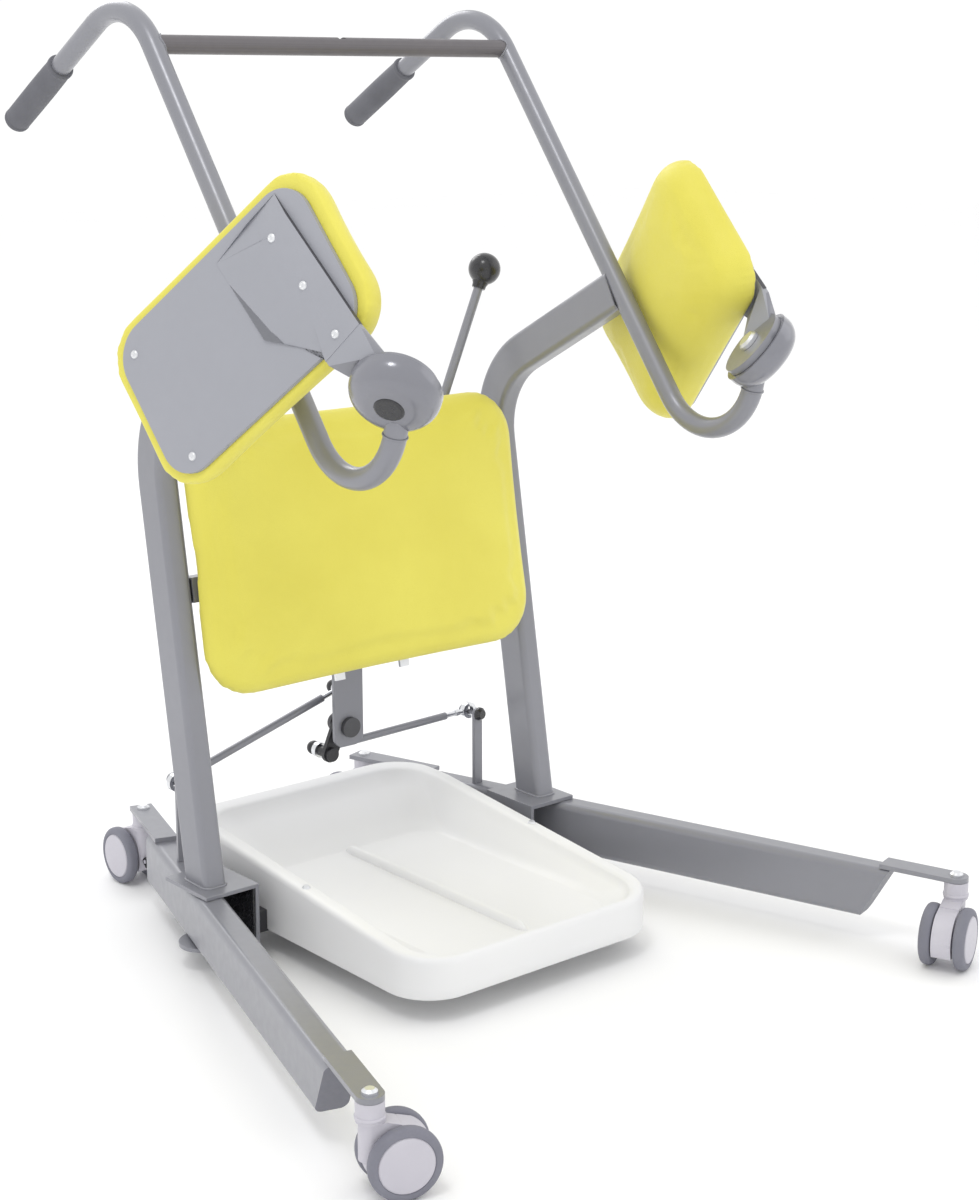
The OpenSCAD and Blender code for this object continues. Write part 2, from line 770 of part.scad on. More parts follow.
module lever_knob() {
  color(black) lever_frame() translate([0, crank_plate_y + crank_t / 2, lever_len]) difference() {
    sphere(r = knob_r);
    translate([0, 0, -knob_r - 1]) cylinder(r = 6 + seat_fit, h = knob_r - 9);
  }
}

module tie_rod(s) {
  color(grey) rod_frame(s) translate([28, 0, 0]) rotate([0, 90, 0]) cylinder(r = 5, h = rod_run(s) - 68);
}

module rod_ends(s) {
  color(chrome) rod_frame(s) {
    difference() {
      union() {
        peg_y(10, -eye_t / 2, eye_t / 2);
        rotate([0, 90, 0]) cylinder(r = 3.5, h = 28);
      }
      peg_y(stud_r + run_fit, -eye_t, eye_t);
    }
    translate([rod_run(s), 0, 0]) difference() {
      union() {
        peg_y(11, -eye_t / 2, eye_t / 2);
        translate([-40, 0, 0]) rotate([0, 90, 0]) cylinder(r = 3.5, h = 40);
        translate([-24, 0, 0]) rotate([0, 90, 0]) cylinder(r = 5, h = 6, $fn = 6);
      }
      peg_y(eye_hole_r, -eye_t, eye_t);
    }
  }
}

// Legs
module leg_form(inset, cap) {
  difference() {
    translate([-leg_rear + cap, 0, leg_bottom + leg_h / 2]) rotate([90, 0, 90])
      linear_extrude(leg_rear + leg_front - cap + 10)
        rounded_rect(leg_w - 2 * inset, leg_h - 2 * inset, 9 - inset);
    translate([leg_front - cap, 0, leg_top]) rotate([0, nose_slant, 0]) translate([0, -leg_w, -150])
      cube([100, 2 * leg_w, 200]);
  }
}

module leg(s) {
  color(grey) on_leg(s) difference() {
    union() {
      difference() {
        leg_form(0, 0);
        leg_form(leg_wall, 3);
      }
      translate([0, 0, leg_bottom + 1]) cylinder(r = 13, h = leg_h - 2);
    }
    translate([0, 0, leg_bottom - 1]) cylinder(r = pivot_r + run_fit, h = leg_h + 2);
    translate([30 - leg_rear, 0, leg_bottom - 1]) cylinder(r = 4, h = leg_wall + 2);
  }
}

module caster_arms(s) {
  color(grey) on_leg(s) translate([0, 0, leg_top]) difference() {
    union() {
      translate([leg_front - arm_lap, -arm_w / 2, 0]) cube([front_stem - leg_front + arm_lap, arm_w, arm_t]);
      translate([front_stem, 0, 0]) cylinder(r = arm_w / 2, h = arm_t);
      translate([-rear_stem - 16, -arm_w / 2, 0]) cube([rear_stem - leg_rear + 51, arm_w, arm_t]);
    }
    for (e = [-1, 1]) translate([stem_along(e), 0, -1]) cylinder(r = stem_r + seat_fit, h = arm_t + 2);
  }
}

module crank_post(s) {
  strip_w = 15;
  strip_in = 14;
  color(grey) on_leg(s) translate([-post_back, 0, 0]) rotate([0, 0, 180 - leg_splay / 2]) {
    translate([-strip_in - plate_t, -strip_w / 2, leg_top]) cube([plate_t, strip_w, link_z - leg_top]);
    translate([0, 0, link_z]) rotate([0, 90, 0]) {
      translate([0, 0, -strip_in - plate_t]) cylinder(r = strip_w / 2, h = plate_t);
      translate([0, 0, -strip_in - 1]) cylinder(r = post_stud_r, h = strip_in + 9);
      translate([0, 0, 6.5]) cylinder(r = 8, h = 4);
      translate([0, 0, -strip_in - plate_t - 4]) cylinder(r = 9, h = 4);
      translate([0, 0, -strip_in - plate_t - 8]) cylinder(r1 = 6, r2 = 9, h = 4);
    }
  }
}

module caster_bolts(s) {
  shank = 40;
  color(bright) on_leg(s) for (e = [-1, 1]) translate([stem_along(e), 0, arm_top]) {
    translate([0, 0, -shank]) cylinder(r = stem_r, h = shank);
    cylinder(r = 8, h = 2.5);
    translate([0, 0, 2.5]) cylinder(r1 = 8, r2 = 5, h = 2.5);
  }
}

// Casters
module fork(s, e) {
  collar_r = 14.5;
  hood_r = wheel_r - 3;
  hood_clear = 20;
  color(lilac) at_caster(s, e) difference() {
    union() {
      translate([trail, 0, wheel_r]) peg_y(hood_r, -fork_half, fork_half);
      translate([0, -fork_half, wheel_r]) cube([trail, 2 * fork_half, wheel_r + 2]);
      translate([0, 0, wheel_r]) cylinder(r = fork_half, h = collar_top - wheel_r);
      translate([0, 0, 2 * wheel_r + 2]) cylinder(r = collar_r, h = collar_top - 2 * wheel_r - 2);
      translate([trail, 0, wheel_r]) peg_y(axle_r, -wheel_out + 4, wheel_out - 4);
      if (e < 0) {
        translate([pedal_pin[0] - 4, -4.5, 33]) cube([12, 9, 13]);
        translate([pedal_pin[0], 0, pedal_pin[1]]) peg_y(pedal_pin_r, -11, 11);
      }
    }
    translate([0, 0, arm_top - 41]) cylinder(r = stem_r + run_fit, h = 60);
    translate([trail - 60, -fork_half - 1, -1]) cube([120, 2 * fork_half + 2, hood_clear + 1]);
  }
}

module wheel(s, e, w) {
  edge = 6;
  core_r = 29;
  color(tyre_grey) at_caster(s, e) translate([trail, 0, wheel_r]) mirror([0, w < 0 ? 1 : 0, 0])
    translate([0, wheel_in, 0]) rotate([-90, 0, 0]) difference() {
      rotate_extrude() {
        square([core_r, wheel_w]);
        translate([0, 1]) square([wheel_r - edge, wheel_w - 2]);
        translate([0, edge]) square([wheel_r, wheel_w - 2 * edge]);
        for (y = [edge, wheel_w - edge]) translate([wheel_r - edge, y]) circle(edge - 0.6);
      }
      translate([0, 0, -1]) cylinder(r = axle_r + run_fit, h = wheel_w - 3 + 1);
    }
}

module brake(s) {
  ear = [5, 10.5];
  color(black) at_caster(s, -1) difference() {
    union() {
      for (w = [0, 1]) mirror([0, w, 0]) translate([pedal_pin[0], 0, pedal_pin[1]]) {
        peg_y(5.5, ear[0], ear[1]);
        translate([-14, ear[0], -8]) cube([14, ear[1] - ear[0], 8]);
      }
      translate([pedal_pin[0] - 28, -ear[1], pedal_pin[1] - 11]) cube([22, 2 * ear[1], 5]);
    }
    translate([pedal_pin[0], 0, pedal_pin[1]]) peg_y(pedal_pin_r + run_fit, -20, 20);
  }
}

upright(-1);  // left_upright
upright(1);  // right_upright
side_tube(-1);  // left_side_tube
side_tube(1);  // right_side_tube
grip(-1);  // left_grip
grip(1);  // right_grip
hand_bar();
base_bracket(-1);  // left_base_bracket
base_bracket(1);  // right_base_bracket
base_crossmember();
leg_pivot_bolts();
foot_tray();
tray_rivets();
hub_housing(-1);  // left_hub_housing
hub_housing(1);  // right_hub_housing
hub_caps();
seat_pivot_bolts();
knee_crossbar();
knee_board();
knee_pad();
knee_pad_clips();
lever_bracket();
lever_pivot_bolt();
lever_crank();
lever_rod();
lever_knob();
tie_rod(-1);  // left_tie_rod
tie_rod(1);  // right_tie_rod
rod_ends(-1);  // left_rod_ends
rod_ends(1);  // right_rod_ends
leg(-1);  // left_leg
leg(1);  // right_leg
caster_arms(-1);  // left_caster_arms
caster_arms(1);  // right_caster_arms
crank_post(-1);  // left_crank_post
crank_post(1);  // right_crank_post
caster_bolts(-1);  // left_caster_bolts
caster_bolts(1);  // right_caster_bolts
seat_arm(-1);  // left_seat_arm
seat_arm(1);  // right_seat_arm
seat_board(-1);  // left_seat_board
seat_board(1);  // right_seat_board
seat_pad(-1);  // left_seat_pad
seat_pad(1);  // right_seat_pad
seat_screws(-1);  // left_seat_screws
seat_screws(1);  // right_seat_screws
fork(-1, 1);  // front_left_fork
fork(1, 1);  // front_right_fork
fork(-1, -1);  // rear_left_fork
fork(1, -1);  // rear_right_fork
wheel(-1, 1, 1);  // front_left_wheel_a
wheel(-1, 1, -1);  // front_left_wheel_b
wheel(1, 1, 1);  // front_right_wheel_a
wheel(1, 1, -1);  // front_right_wheel_b
wheel(-1, -1, 1);  // rear_left_wheel_a
wheel(-1, -1, -1);  // rear_left_wheel_b
wheel(1, -1, 1);  // rear_right_wheel_a
wheel(1, -1, -1);  // rear_right_wheel_b
brake(-1);  // rear_left_brake
brake(1);  // rear_right_brake
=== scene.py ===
import json
import math

import bmesh
import bpy
import numpy as np
from mathutils import Euler, Matrix, Vector


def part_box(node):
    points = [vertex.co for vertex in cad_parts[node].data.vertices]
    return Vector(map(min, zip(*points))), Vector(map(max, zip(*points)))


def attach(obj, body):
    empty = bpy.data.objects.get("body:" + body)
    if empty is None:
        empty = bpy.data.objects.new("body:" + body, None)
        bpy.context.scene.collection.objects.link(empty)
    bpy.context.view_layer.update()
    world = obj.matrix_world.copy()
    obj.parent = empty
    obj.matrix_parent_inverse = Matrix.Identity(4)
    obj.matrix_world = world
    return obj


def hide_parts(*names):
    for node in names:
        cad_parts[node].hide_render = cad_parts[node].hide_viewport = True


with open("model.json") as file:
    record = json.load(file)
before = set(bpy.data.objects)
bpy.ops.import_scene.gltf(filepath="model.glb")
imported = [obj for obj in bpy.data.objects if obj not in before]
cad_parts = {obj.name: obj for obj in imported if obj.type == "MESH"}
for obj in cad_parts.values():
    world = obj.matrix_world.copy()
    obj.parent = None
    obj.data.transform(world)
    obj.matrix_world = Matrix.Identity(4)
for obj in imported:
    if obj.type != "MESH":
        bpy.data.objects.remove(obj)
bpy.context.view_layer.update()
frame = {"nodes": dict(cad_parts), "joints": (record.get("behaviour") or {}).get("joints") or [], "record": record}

nodes = frame["nodes"]
record = frame["record"]
joints = {j["name"]: j for j in frame["joints"]}
node_body = {n: b for b, members in record["behaviour"]["bodies"].items() for n in members}
node_slot = {p["node"]: p["material_slot"] for p in record["subparts"]}
base_y = joints["left_leg_pivot"]["pos_m"][1]
scene = bpy.context.scene

MM = 0.001
FULL_TURN = 2.0 * math.pi
QUARTER_TURN = math.pi / 2.0
SIDES = ((1, "right"), (-1, "left"))
CORNERS = [(end, side) for end in ("front", "rear") for side in ("left", "right")]

# Sockets of a colour mix node
MIX_A = 6
MIX_B = 7
MIX_OUT = 2


# Node helpers
def add(tree, kind, **values):
    made = tree.nodes.new(kind)
    for key, value in values.items():
        setattr(made, key, value)
    return made


def noise(tree, coords, scale, detail):
    made = add(tree, "ShaderNodeTexNoise")
    made.inputs["Scale"].default_value = scale
    made.inputs["Detail"].default_value = detail
    tree.links.new(coords, made.inputs["Vector"])
    return made.outputs["Fac"]


def spread(tree, value, low, high, start=0.3, end=0.7):
    made = add(tree, "ShaderNodeMapRange")
    made.inputs["From Min"].default_value = start
    made.inputs["From Max"].default_value = end
    made.inputs["To Min"].default_value = low
    made.inputs["To Max"].default_value = high
    tree.links.new(value, made.inputs["Value"])
    return made.outputs["Result"]


def mix(tree, amount, a, b):
    made = add(tree, "ShaderNodeMix", data_type="RGBA")
    tree.links.new(amount, made.inputs["Factor"])
    for slot, value in ((MIX_A, a), (MIX_B, b)):
        if hasattr(value, "is_linked"):
            tree.links.new(value, made.inputs[slot])
        else:
            made.inputs[slot].default_value = (*value, 1.0)
    return made.outputs[MIX_OUT]


def bump(tree, height, distance, strength=1.0, normal=None):
    made = add(tree, "ShaderNodeBump")
    made.inputs["Distance"].default_value = distance
    made.inputs["Strength"].default_value = strength
    tree.links.new(height, made.inputs["Height"])
    if normal is not None:
        tree.links.new(normal, made.inputs["Normal"])
    return made.outputs["Normal"]


def start(name, metal=0.0, coat=0.0, sheen=0.0, specular=0.5):
    mat = bpy.data.materials.new(name)
    mat.use_nodes = True
    tree = mat.node_tree
    shader = tree.nodes["Principled BSDF"]
    shader.inputs["Metallic"].default_value = metal
    shader.inputs["Coat Weight"].default_value = coat
    shader.inputs["Coat Roughness"].default_value = 0.25
    shader.inputs["Sheen Weight"].default_value = sheen
    shader.inputs["Specular IOR Level"].default_value = specular
    coords = add(tree, "ShaderNodeTexCoord").outputs["Object"]
    return mat, tree, shader, coords


# A mottled surface with fine grain and uneven gloss. Its edges are worn where a wear colour is given
def surface(name, light, dark, rough, metal=0.0, coat=0.0, specular=0.5, patch=9.0,
            grain=700.0, depth=0.00002, wear=None, fleck=0.30):
    specks_per_patch = 14.0
    mat, tree, shader, coords = start(name, metal=metal, coat=coat, specular=specular)
    large = noise(tree, coords, patch, 4.0)
    small = noise(tree, coords, patch * specks_per_patch, 3.0)
    colour = mix(tree, spread(tree, large, 0.0, 1.0), light, dark)
    speck = mix(tree, spread(tree, small, 0.0, fleck, 0.35, 0.75), colour, dark)
    if wear is not None:
        edge = add(tree, "ShaderNodeNewGeometry").outputs["Pointiness"]
        scuffed = spread(tree, edge, 0.0, 0.6, 0.52, 0.6)
        speck = mix(tree, scuffed, speck, wear)
    tree.links.new(speck, shader.inputs["Base Color"])
    tree.links.new(spread(tree, small, *rough), shader.inputs["Roughness"])
    tree.links.new(bump(tree, noise(tree, coords, grain, 2.0), depth), shader.inputs["Normal"])
    return mat


# Vinyl cover: small leather cells over a soft mottle, with painted shade darkening the creases between the cells
def vinyl(name, light, dark):
    cell_scale = 520.0
    crease_width = 0.16
    mat, tree, shader, coords = start(name, sheen=0.12, specular=0.42)
    cells = add(tree, "ShaderNodeTexVoronoi", feature="DISTANCE_TO_EDGE")
    cells.inputs["Scale"].default_value = cell_scale
    tree.links.new(coords, cells.inputs["Vector"])
    crease = spread(tree, cells.outputs["Distance"], 0.0, 1.0, 0.0, crease_width)
    broad = noise(tree, coords, 7.0, 4.0)
    fine = noise(tree, coords, 160.0, 3.0)
    colour = mix(tree, spread(tree, broad, 0.0, 1.0), light, dark)
    # Painted shade: the colour is darkened along the creases between the cells
    creases_in_painted_shade = mix(tree, spread(tree, crease, 0.35, 0.0, 0.0, 1.0), colour, dark)
    tree.links.new(creases_in_painted_shade, shader.inputs["Base Color"])
    tree.links.new(spread(tree, fine, 0.42, 0.56), shader.inputs["Roughness"])
    pebble = bump(tree, crease, 0.00014, 0.7)
    soft = bump(tree, broad, 0.004, 0.25, pebble)
    tree.links.new(bump(tree, fine, 0.0003, 0.4, soft), shader.inputs["Normal"])
    return mat


# Bare metal, brushed along the direction in which the noise is stretched
def metal(name, light, dark, rough, stretch=(1.0, 1.0, 0.06)):
    brush_scale = 900.0
    mat, tree, shader, coords = start(name, metal=1.0)
    mapping = add(tree, "ShaderNodeMapping")
    mapping.inputs["Scale"].default_value = stretch
    tree.links.new(coords, mapping.inputs["Vector"])
    brushed = noise(tree, mapping.outputs["Vector"], brush_scale, 4.0)
    broad = noise(tree, coords, 30.0, 3.0)
    colour = mix(tree, spread(tree, broad, 0.0, 1.0), light, dark)
    tree.links.new(colour, shader.inputs["Base Color"])
    tree.links.new(spread(tree, brushed, *rough), shader.inputs["Roughness"])
    tree.links.new(bump(tree, brushed, 0.00005, 0.6), shader.inputs["Normal"])
    return mat


# Rubber with fine moulded rings across a direction
def ringed(name, light, dark, rough, direction, pitch, depth):
    mat, tree, shader, coords = start(name, specular=0.35)
    dot = add(tree, "ShaderNodeVectorMath", operation="DOT_PRODUCT")
    dot.inputs[1].default_value = direction
    tree.links.new(coords, dot.inputs[0])
    turn = add(tree, "ShaderNodeMath", operation="MULTIPLY")
    turn.inputs[1].default_value = FULL_TURN / pitch
    tree.links.new(dot.outputs["Value"], turn.inputs[0])
    wave = add(tree, "ShaderNodeMath", operation="SINE")
    tree.links.new(turn.outputs["Value"], wave.inputs[0])
    large = noise(tree, coords, 24.0, 4.0)
    small = noise(tree, coords, 700.0, 3.0)
    colour = mix(tree, spread(tree, large, 0.0, 1.0), light, dark)
    tree.links.new(colour, shader.inputs["Base Color"])
    tree.links.new(spread(tree, small, *rough), shader.inputs["Roughness"])
    first = bump(tree, small, 0.00004, 0.5)
    tree.links.new(bump(tree, wave.outputs["Value"], depth, 0.5, first), shader.inputs["Normal"])
    return mat


mats = {
    "frame_paint": surface("frame_paint", (0.262, 0.265, 0.295), (0.246, 0.249, 0.277), (0.28, 0.36),
                           metal=0.25, coat=0.25, patch=6.0, grain=220.0, depth=0.000006),
    # Glossier than the frame's paint, and a little darker as painted shade on the hub domes
    "hub_gloss_and_shade": surface("hub_gloss_and_shade", (0.235, 0.238, 0.268), (0.212, 0.215, 0.243), (0.15, 0.22),
                         metal=0.30, coat=0.5, patch=8.0, grain=220.0, depth=0.000004),
    "dark_bar": surface("dark_bar", (0.105, 0.095, 0.100), (0.080, 0.073, 0.078), (0.38, 0.52),
                        metal=0.15, coat=0.10, wear=(0.17, 0.16, 0.17)),
    "grip": ringed("grip", (0.150, 0.152, 0.172), (0.122, 0.124, 0.142), (0.55, 0.72),
                   direction=(0.0, 0.8746, -0.4848), pitch=0.0030, depth=0.00006),
    "cushion": vinyl("cushion", (0.800, 0.735, 0.118), (0.735, 0.660, 0.092)),
    "board": surface("board", (0.355, 0.362, 0.400), (0.330, 0.337, 0.372), (0.42, 0.55),
                     patch=5.0, grain=260.0, depth=0.00001),
    "tray": surface("tray", (0.825, 0.827, 0.830), (0.800, 0.803, 0.810), (0.42, 0.48),
                    coat=0.08, patch=4.0, grain=30.0, depth=0.0001, fleck=0.0),
    "nose_grey": surface("nose_grey", (0.200, 0.202, 0.235), (0.180, 0.182, 0.212), (0.40, 0.52),
                         metal=0.15, patch=12.0, grain=260.0, depth=0.00001),
    "black_metal": surface("black_metal", (0.026, 0.026, 0.030), (0.016, 0.016, 0.020), (0.32, 0.50),
                           coat=0.15, patch=20.0, wear=(0.10, 0.10, 0.11)),
    "black_plastic": surface("black_plastic", (0.024, 0.024, 0.028), (0.017, 0.017, 0.020),
                             (0.20, 0.30), coat=0.35, patch=18.0, grain=500.0),
    "zinc": metal("zinc", (0.82, 0.83, 0.85), (0.70, 0.71, 0.73), (0.32, 0.46)),
    "chrome": metal("chrome", (0.80, 0.81, 0.83), (0.70, 0.71, 0.73), (0.08, 0.20),
                    stretch=(0.06, 1.0, 1.0)),
    "caster_body": surface("caster_body", (0.560, 0.545, 0.600), (0.520, 0.505, 0.560), (0.36, 0.48),
                           patch=22.0, grain=300.0, depth=0.00001),
    "tyre": surface("tyre", (0.225, 0.226, 0.268), (0.190, 0.191, 0.228), (0.55, 0.72),
                    specular=0.35, patch=26.0, grain=900.0, depth=0.00005),
}

for name, node in nodes.items():
    for slot in node.material_slots:
        slot.material = mats[node_slot[name]]
    if not node.material_slots:
        node.data.materials.append(mats[node_slot[name]])


# Piece helpers
def piece(name, mesh, body, slot, stands_for=(), others=()):
    made = bpy.data.objects.new(name, mesh)
    scene.collection.objects.link(made)
    for key in (slot, *others):
        mesh.materials.append(mats[key])
    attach(made, body)
    if stands_for:
        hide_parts(*stands_for)
    return made


def mesh_of(name, verts, faces, kinds=None, angle=35.0):
    mesh = bpy.data.meshes.new(name)
    mesh.from_pydata([tuple(v) for v in verts], [], faces)
    bm = bmesh.new()
    bm.from_mesh(mesh)
    if kinds is not None:
        for face, kind in zip(bm.faces, kinds):
            face.material_index = kind
    bmesh.ops.remove_doubles(bm, verts=bm.verts, dist=1e-7)
    bmesh.ops.recalc_face_normals(bm, faces=bm.faces)
    bm.to_mesh(mesh)
    bm.free()
    for face in mesh.polygons:
        face.use_smooth = True
    mesh.set_sharp_from_angle(angle=math.radians(angle))
    return mesh


# A turned form: rings of (along, radius, material number) in mm about an axis through a point
def turned(name, points, axis, at, segments, angle):
    axis = Vector(axis).normalized()
    side = axis.orthogonal().normalized()
    other = axis.cross(side)
    verts = []
    faces = []
    kinds = []
    for along, radius, kind in points:
        middle = Vector(at) + axis * (along * MM)
        for k in range(segments):
            a = FULL_TURN * k / segments
            verts.append(middle + (side * math.cos(a) + other * math.sin(a)) * (radius * MM))
    for i in range(len(points) - 1):
        low = i * segments
        high = low + segments
        for k in range(segments):
            j = (k + 1) % segments
            faces.append((low + k, low + j, high + j, high + k))
            kinds.append(points[i + 1][2])
    last = (len(points) - 1) * segments
    faces.append(tuple(reversed(range(segments))))
    kinds.append(points[0][2])
    faces.append(tuple(range(last, last + segments)))
    kinds.append(points[-1][2])
    return mesh_of(name, verts, faces, kinds, angle)


def plain(rings):
    return [(along, radius, 0) for along, radius in rings]


# A copy of a node's mesh in one piece, without the normals that it came with
def welded_copy(name, change):
    merge_within = 2e-6
    mesh = nodes[name].data.copy()
    mesh.materials.clear()
    bm = bmesh.new()
    bm.from_mesh(mesh)
    bmesh.ops.remove_doubles(bm, verts=bm.verts, dist=merge_within)
    change(bm)
    bm.to_mesh(mesh)
    bm.free()
    if mesh.has_custom_normals:
        mesh.attributes.remove(mesh.attributes["custom_normal"])
    carrier = bpy.data.objects.new("carrier", mesh)
    scene.collection.objects.link(carrier)
    return carrier


def evaluated(obj):
    return obj.evaluated_get(bpy.context.evaluated_depsgraph_get())


# A copy of a CAD node with its hard edges rounded, which stands for the node.
# The form may be reshaped before the rounding, kept flat in places and painted with other slots after it
def softened(name, width, shape=None, flat=None, paint=None, others=()):
    one_face_within = math.radians(0.5)
    rounded_over = math.radians(28.0)
    sharp_over = math.radians(32.0)

    def change(bm):
        if shape is not None:
            shape(bm)
        bmesh.ops.dissolve_limit(bm, angle_limit=one_face_within, verts=bm.verts, edges=bm.edges)
        for face in bm.faces:
            face.smooth = flat is None or not flat(face.calc_center_median())

    carrier = welded_copy(name, change)
    rounder = carrier.modifiers.new("rounder", "BEVEL")
    rounder.width = width
    rounder.segments = 3
    rounder.limit_method = "ANGLE"
    rounder.angle_limit = rounded_over
    rounder.use_clamp_overlap = True
    if flat is None:
        evened = carrier.modifiers.new("evened", "WEIGHTED_NORMAL")
        evened.weight = 90
    result = bpy.data.meshes.new_from_object(evaluated(carrier))
    bpy.data.objects.remove(carrier)
    if flat is not None:
        result.set_sharp_from_angle(angle=sharp_over)
    if paint is not None:
        for face in result.polygons:
            face.material_index = paint(face)
    piece(name + "_shaped", result, node_body[name], node_slot[name], (name,), others)


# A rippled weld bead along a closed path
def bead(name, path, radius, body):
    sides = 10
    ripple = 0.003
    thinnest = 0.86
    ripple_gain = 0.20
    any_way = Vector((0.31, 0.52, 0.79))
    pts = [Vector(p) for p in path]
    count = len(pts)
    verts = []
    faces = []
    run = 0.0
    for i, p in enumerate(pts):
        along = (pts[(i + 1) % count] - pts[i - 1]).normalized()
        side = along.cross(any_way).normalized()
        up = along.cross(side)
        run += (p - pts[i - 1]).length if i else 0.0
        swell = radius * (thinnest + ripple_gain * abs(math.sin(math.pi * run / ripple)))
        for k in range(sides):
            a = FULL_TURN * k / sides
            verts.append(p + (side * math.cos(a) + up * math.sin(a)) * swell)
    for i in range(count):
        n = (i + 1) % count
        for k in range(sides):
            j = (k + 1) % sides
            faces.append((i * sides + k, n * sides + k, n * sides + j, i * sides + j))
    piece(name, mesh_of(name, verts, faces, angle=80.0), body, "frame_paint")


# Points round a rectangle with round corners, from low to high in the second direction
def rounded_outline(half_w, low, high, corner, per_corner=14, per_side=18):
    mid = (low + high) / 2.0
    half_d = (high - low) / 2.0
    signs = ((1, 1), (-1, 1), (-1, -1), (1, -1))

    def on_corner(q, a):
        sx, sy = signs[q % 4]
        x = sx * (half_w - corner) + corner * math.cos(a)
        y = mid + sy * (half_d - corner) + corner * math.sin(a)
        return (x, y)

    pts = []
    for q in range(4):
        for k in range(per_corner):
            pts.append(on_corner(q, QUARTER_TURN * (q + k / (per_corner - 1))))
        begin = pts[-1]
        end = on_corner(q + 1, QUARTER_TURN * (q + 1))
        for k in range(1, per_side):
            u = k / per_side
            pts.append((begin[0] + (end[0] - begin[0]) * u, begin[1] + (end[1] - begin[1]) * u))
    return pts


# Side frames: mirror for the left, and the placing of each seat
def side_matrix(s):
    return Matrix.Translation((0, base_y, 0)) @ Matrix.Diagonal((s, 1, 1, 1))


hub_at = Vector(joints["right_seat_swing"]["pos_m"]) - Vector((0, base_y, 0))
hub_axis = Vector(joints["right_seat_swing"]["axis"])
seat_angles = (math.radians(-105.65), math.radians(-48.24), math.radians(88.0))
seat_turn = Euler(seat_angles, "XYZ").to_matrix().to_4x4()


def seat_matrix(s):
    return side_matrix(s) @ Matrix.Translation(hub_at) @ seat_turn


# The uprights lean, and the knee rest is square to them
lean = math.radians(9.4)
base_top = 0.104
knee_pad_at = (0, -0.031, 0.381)
lean_matrix = Matrix.Translation((0, base_y, base_top)) @ Matrix.Rotation(-lean, 4, "X")
knee_matrix = lean_matrix @ Matrix.Translation(knee_pad_at) @ Matrix.Rotation(QUARTER_TURN, 4, "X")


# Cushions: the solid in fine even cells is filled by cloth pressure in its own frame, held at its back.
# The sides may swell a little but not draw in, and the corners are gathered
def pad_cells(name, place):
    start_height = 0.955
    back = place.inverted()

    def change(bm):
        for v in bm.verts:
            p = back @ v.co
            v.co = (p.x, p.y, p.z * start_height)
        if place.determinant() < 0.0:
            bmesh.ops.reverse_faces(bm, faces=bm.faces)

    carrier = welded_copy(name, change)
    remesh = carrier.modifiers.new("remesh", "REMESH")
    remesh.mode = "VOXEL"
    remesh.voxel_size = 0.005
    evened = carrier.modifiers.new("evened", "SMOOTH")
    evened.factor = 0.5
    evened.iterations = 4
    ready = bpy.data.meshes.new_from_object(evaluated(carrier))
    carrier.modifiers.clear()
    carrier.data = ready
    return carrier


def places_of(mesh):
    flat = np.empty(len(mesh.vertices) * 3, np.float32)
    mesh.vertices.foreach_get("co", flat)
    return flat.reshape(-1, 3)


def filled(carrier, rest, cap):
    last_frame = 20
    held_under = 0.0035
    side_share = 0.3
    held = carrier.vertex_groups.new(name="held")
    held.add([int(i) for i in np.nonzero(rest[:, 2] < held_under)[0]], 1.0, "REPLACE")
    cloth = carrier.modifiers.new("fill", "CLOTH")
    cloth.settings.quality = 6
    cloth.settings.use_pressure = True
    cloth.settings.uniform_pressure_force = 4.0
    cloth.settings.vertex_group_mass = "held"
    cloth.settings.effector_weights.gravity = 0.0
    cloth.collision_settings.use_collision = False
    cloth.point_cache.frame_start = 1
    cloth.point_cache.frame_end = last_frame
    for f in range(1, last_frame + 1):
        scene.frame_set(f)
    step = places_of(evaluated(carrier).data) - rest
    for axis in (0, 1):
        outward = np.sign(rest[:, axis])
        step[:, axis] = outward * np.clip(outward * step[:, axis], 0.0, side_share * cap)
    step[:, 2] = np.clip(step[:, 2], 0.0, cap)
    carrier.modifiers.clear()
    scene.frame_set(1)
    return rest + step


def gather_corners(local, half_w, half_d, thick):
    corner_from = 0.62
    corner_run = 0.25
    centre = 0.7
    fold_depth = 0.0007
    folds = 26.0
    fold_height = 0.26 * thick
    fold_spread = 0.22 * thick
    across = np.abs(local[:, 0]) / half_w
    along = np.abs(local[:, 1]) / half_d
    corner = np.clip((np.minimum(across, along) - corner_from) / corner_run, 0.0, 1.0)
    angle = np.arctan2(np.abs(local[:, 1]) - centre * half_d, np.abs(local[:, 0]) - centre * half_w)
    low = np.exp(-((local[:, 2] - fold_height) / fold_spread) ** 2)
    fold = fold_depth * corner * low * np.sin(angle * folds)
    outward_x = np.sign(local[:, 0]) * np.cos(angle)
    outward_y = np.sign(local[:, 1]) * np.sin(angle)
    local[:, :2] += np.stack([outward_x, outward_y], 1) * fold[:, None]


def cushion(name, place, half_w, half_d, thick, cap, body):
    back_gap = 0.0004
    carrier = pad_cells(name, place)
    ready = carrier.data
    rest = places_of(ready)
    local = filled(carrier, rest, cap)
    bpy.data.objects.remove(carrier)
    local[:, 2] = np.maximum(local[:, 2], back_gap)
    gather_corners(local, half_w, half_d, thick)
    front = np.array(place)
    shape = local @ front[:3, :3].T + front[:3, 3]
    ready.vertices.foreach_set("co", shape.astype(np.float32).ravel())
    if place.determinant() < 0.0:
        ready.flip_normals()
    ready.update()
    for face in ready.polygons:
        face.use_smooth = True
    made = piece(name + "_cover", ready, body, "cushion", (name,))
    finer = made.modifiers.new("finer", "SUBSURF")
    finer.levels = 1
    finer.render_levels = 1


